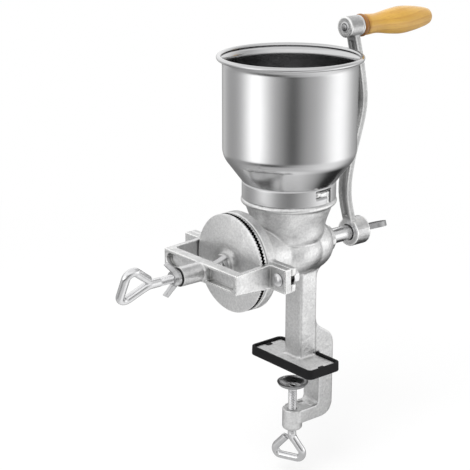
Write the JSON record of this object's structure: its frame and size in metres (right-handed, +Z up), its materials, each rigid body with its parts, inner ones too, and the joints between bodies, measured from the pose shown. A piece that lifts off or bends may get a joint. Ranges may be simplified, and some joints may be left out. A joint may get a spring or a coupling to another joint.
{
  "type": "hand grain mill",
  "caption": "Hand grain mill that clamps to a table edge: steel hopper on a bayonet collar, cast barrel with feed screw, disc burrs set by a screw in a bolted yoke, crank with a wooden grip.",
  "frame": {"origin": "on the table's top face, which is the rubber pad's underside, straight below the hopper's axis", "axes": "+Z up along the hopper's axis; the grinding shaft lies along X, with the crank at +X and the burrs and their adjuster at -X; +Y completes the frame"},
  "size_m": [0.4149, 0.1606, 0.489],
  "materials": {
    "cast": "sand-cast and tinned, satin silver",
    "sheet": "spun and polished stainless sheet",
    "plated": "bright zinc plate",
    "pad": "matt black moulded rubber",
    "wood": "turned and lacquered, honey"
  },
  "bodies": {
    "stand": {"body_casting": "cast", "foot_pad": "pad", "fixed_burr": "cast", "burr_screws": "plated", "yoke": "cast", "yoke_bolts": "plated", "yoke_washers": "plated", "yoke_nuts": "plated"},
    "hopper": {"hopper_bowl": "sheet", "hopper_collar": "sheet"},
    "thrust": {"thrust_ball": "plated"},
    "rotor": {"auger": "plated", "turning_burr": "cast", "drive_pin": "plated", "crank_arm": "cast", "handle_spindle": "plated", "grip_washer": "plated"},
    "handle": {"grip": "wood"},
    "crank_fastener": {"thumb_screw": "plated"},
    "adjuster": {"adjusting_screw": "plated"},
    "outer_lock": {"outer_wing_nut": "plated"},
    "inner_lock": {"inner_wing_nut": "plated"},
    "clamp_head": {"clamp_cup": "plated"},
    "clamp_spindle": {"clamp_screw": "plated"}
  },
  "joints": [
    {"name": "grind_gap", "type": "slide", "parent": "stand", "child": "thrust", "axis": [1, 0, 0], "range_m": [-0.003, 0]},
    {"name": "crank_spin", "type": "hinge", "parent": "thrust", "child": "rotor", "pos_m": [0, 0, 0.1325], "axis": [1, 0, 0], "continuous": true},
    {"name": "grip_spin", "type": "hinge", "parent": "rotor", "child": "handle", "pos_m": [0.0951, 0, 0.357], "axis": [1, 0, 0], "continuous": true},
    {"name": "thumb_screw_turn", "type": "hinge", "parent": "rotor", "child": "crank_fastener", "pos_m": [0, 0, 0.1325], "axis": [1, 0, 0], "range_deg": [0, 360]},
    {"name": "adjuster_turn", "type": "hinge", "parent": "thrust", "child": "adjuster", "pos_m": [0, 0, 0.1325], "axis": [1, 0, 0], "range_deg": [-720, 0]},
    {"name": "outer_wing_nut_turn", "type": "hinge", "parent": "stand", "child": "outer_lock", "pos_m": [0, 0, 0.1325], "axis": [1, 0, 0], "range_deg": [-360, 0]},
    {"name": "inner_wing_nut_turn", "type": "hinge", "parent": "stand", "child": "inner_lock", "pos_m": [0, 0, 0.1325], "axis": [1, 0, 0], "range_deg": [0, 360]},
    {"name": "hopper_twist", "type": "hinge", "parent": "stand", "child": "hopper", "pos_m": [0, 0, 0.19], "axis": [0, 0, 1], "range_deg": [-19, 0]},
    {"name": "clamp_travel", "type": "slide", "parent": "stand", "child": "clamp_head", "axis": [0, 0, 1], "range_m": [-0.022, 0.003]},
    {"name": "clamp_screw_turn", "type": "hinge", "parent": "clamp_head", "child": "clamp_spindle", "pos_m": [0.00905, 0, -0.05], "axis": [0, 0, 1], "range_deg": [-5280, 720]}
  ],
  "couplings": [
    {"joint": "adjuster_turn", "follows": "grind_gap", "rad_per_m": 4188.8},
    {"joint": "clamp_travel", "follows": "clamp_screw_turn", "m_per_rad": 0.00023873}
  ]
}
